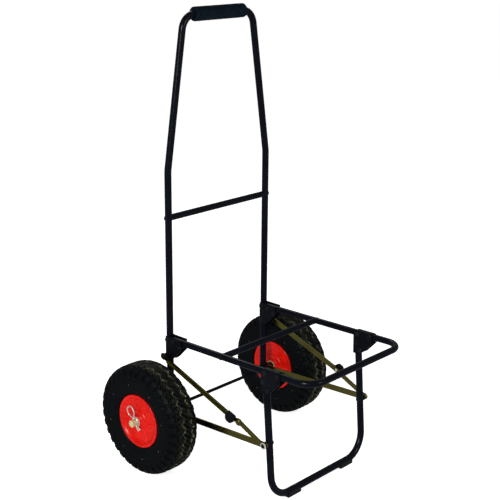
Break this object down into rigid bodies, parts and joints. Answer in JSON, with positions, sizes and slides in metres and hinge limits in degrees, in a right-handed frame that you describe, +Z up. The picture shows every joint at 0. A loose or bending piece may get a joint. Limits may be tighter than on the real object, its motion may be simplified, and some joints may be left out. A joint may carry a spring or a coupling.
{
  "type": "folding beach cart",
  "caption": "Folding hand cart: tall bent-tube handle on two pneumatic wheels, with a fold-up platform, a braced front leg and jointed side struts.",
  "frame": {"origin": "on the floor, at the middle of the whole cart's box", "axes": "+X to the right side of the cart, -Y forward from the handle to the front leg, +Z up"},
  "size_m": [0.5666, 0.5584, 1.045],
  "materials": {
    "frame_paint": "gloss black paint",
    "bracket_paint": "satin black paint",
    "dark_rivet": "black oxide",
    "yellow_zinc": "yellow passivated zinc",
    "bright_zinc": "bright zinc",
    "axle_zinc": "pale yellow zinc",
    "tyre_rubber": "moulded rubber",
    "tube_rubber": "smooth rubber",
    "rim_plastic": "moulded red plastic",
    "bush_plastic": "natural plastic",
    "catch_plastic": "moulded black plastic",
    "foot_rubber": "moulded rubber",
    "grip_foam": "closed cell foam"
  },
  "bodies": {
    "handle": {"handle_frame": "frame_paint", "handle_crossbar": "frame_paint", "crossbar_screws": "dark_rivet", "handle_grip": "grip_foam", "tie_rod": "frame_paint", "axle_spacers": "bracket_paint", "hub_washers": "axle_zinc", "rear_bracket_rivets": "dark_rivet", "platform_pivot_pins": "dark_rivet", "platform_stop_pins": "dark_rivet", "strut_anchor_bolts": "dark_rivet", "axle_collar_left": "bracket_paint", "axle_collar_right": "bracket_paint", "axle_left": "axle_zinc", "axle_right": "axle_zinc", "r_clip_left": "bright_zinc", "r_clip_right": "bright_zinc", "rear_bracket_left": "bracket_paint", "rear_bracket_right": "bracket_paint"},
    "platform": {"platform_frame": "frame_paint", "platform_crossbar": "frame_paint", "platform_crossbar_rivets": "dark_rivet", "front_bracket_rivets": "dark_rivet", "leg_pivot_pins": "dark_rivet", "leg_stop_pins": "dark_rivet", "front_bracket_left": "bracket_paint", "front_bracket_right": "bracket_paint"},
    "leg": {"leg_frame": "frame_paint", "leg_strut_studs": "dark_rivet", "foot_left": "foot_rubber", "foot_right": "foot_rubber"},
    "lower_strut_left": {"lower_strut_left": "yellow_zinc"},
    "upper_arm_left": {"upper_arm_left": "yellow_zinc", "knee_rivet_left": "yellow_zinc", "catch_pin_left": "bright_zinc"},
    "upper_link_left": {"upper_link_left": "yellow_zinc", "strut_bolt_left": "bright_zinc"},
    "catch_left": {"catch_left": "catch_plastic"},
    "wheel_left": {"tyre_left": "tyre_rubber", "inner_tube_left": "tube_rubber", "rim_outer_left": "rim_plastic", "rim_inner_left": "rim_plastic", "hub_bushes_left": "bush_plastic", "valve_left": "tube_rubber"},
    "lower_strut_right": {"lower_strut_right": "yellow_zinc"},
    "upper_arm_right": {"upper_arm_right": "yellow_zinc", "knee_rivet_right": "yellow_zinc", "catch_pin_right": "bright_zinc"},
    "upper_link_right": {"upper_link_right": "yellow_zinc", "strut_bolt_right": "bright_zinc"},
    "catch_right": {"catch_right": "catch_plastic"},
    "wheel_right": {"tyre_right": "tyre_rubber", "inner_tube_right": "tube_rubber", "rim_outer_right": "rim_plastic", "rim_inner_right": "rim_plastic", "hub_bushes_right": "bush_plastic", "valve_right": "tube_rubber"}
  },
  "joints": [
    {"name": "platform_fold", "type": "hinge", "parent": "handle", "child": "platform", "pos_m": [0, 0.12821, 0.302], "axis": [-1, 0, 0], "range_deg": [0, 85]},
    {"name": "leg_fold", "type": "hinge", "parent": "platform", "child": "leg", "pos_m": [0, -0.14812, 0.2873], "axis": [-1, 0, 0], "range_deg": [-89.4, 0]},
    {"name": "lower_strut_left_swing", "type": "hinge", "parent": "handle", "child": "lower_strut_left", "pos_m": [-0.1743, 0.14921, 0.13], "axis": [-1, 0, 0], "range_deg": [0, 76.09]},
    {"name": "upper_arm_left_swing", "type": "hinge", "parent": "handle", "child": "upper_arm_left", "pos_m": [-0.1819, 0.14921, 0.265], "axis": [-1, 0, 0], "range_deg": [0, 98.82]},
    {"name": "knee_left", "type": "hinge", "parent": "upper_arm_left", "child": "upper_link_left", "pos_m": [-0.1791, -0.08725, 0.1785], "axis": [-1, 0, 0], "range_deg": [-156.03, 0]},
    {"name": "catch_left_turn", "type": "hinge", "parent": "upper_arm_left", "child": "catch_left", "pos_m": [-0.1902, -0.06941, 0.18503], "axis": [-1, 0, 0], "range_deg": [0, 30], "stiffness_Nm_per_rad": 0.05},
    {"name": "wheel_left_spin", "type": "hinge", "parent": "handle", "child": "wheel_left", "pos_m": [-0.23, 0.14921, 0.13], "axis": [1, 0, 0], "continuous": true},
    {"name": "lower_strut_right_swing", "type": "hinge", "parent": "handle", "child": "lower_strut_right", "pos_m": [0.1743, 0.14921, 0.13], "axis": [-1, 0, 0], "range_deg": [0, 76.09]},
    {"name": "upper_arm_right_swing", "type": "hinge", "parent": "handle", "child": "upper_arm_right", "pos_m": [0.1819, 0.14921, 0.265], "axis": [-1, 0, 0], "range_deg": [0, 98.82]},
    {"name": "knee_right", "type": "hinge", "parent": "upper_arm_right", "child": "upper_link_right", "pos_m": [0.1791, -0.08725, 0.1785], "axis": [-1, 0, 0], "range_deg": [-156.03, 0]},
    {"name": "catch_right_turn", "type": "hinge", "parent": "upper_arm_right", "child": "catch_right", "pos_m": [0.1902, -0.06941, 0.18503], "axis": [-1, 0, 0], "range_deg": [0, 30], "stiffness_Nm_per_rad": 0.05},
    {"name": "wheel_right_spin", "type": "hinge", "parent": "handle", "child": "wheel_right", "pos_m": [0.23, 0.14921, 0.13], "axis": [1, 0, 0], "continuous": true}
  ],
  "couplings": [
    {"joint": "leg_fold", "follows": "platform_fold", "ratio": -1.0512},
    {"joint": "lower_strut_left_swing", "follows": "platform_fold", "ratio": 0.89464},
    {"joint": "upper_arm_left_swing", "follows": "platform_fold", "ratio": 1.162},
    {"joint": "knee_left", "follows": "platform_fold", "ratio": -1.8351},
    {"joint": "lower_strut_right_swing", "follows": "platform_fold", "ratio": 0.89464},
    {"joint": "upper_arm_right_swing", "follows": "platform_fold", "ratio": 1.162},
    {"joint": "knee_right", "follows": "platform_fold", "ratio": -1.8351}
  ]
}
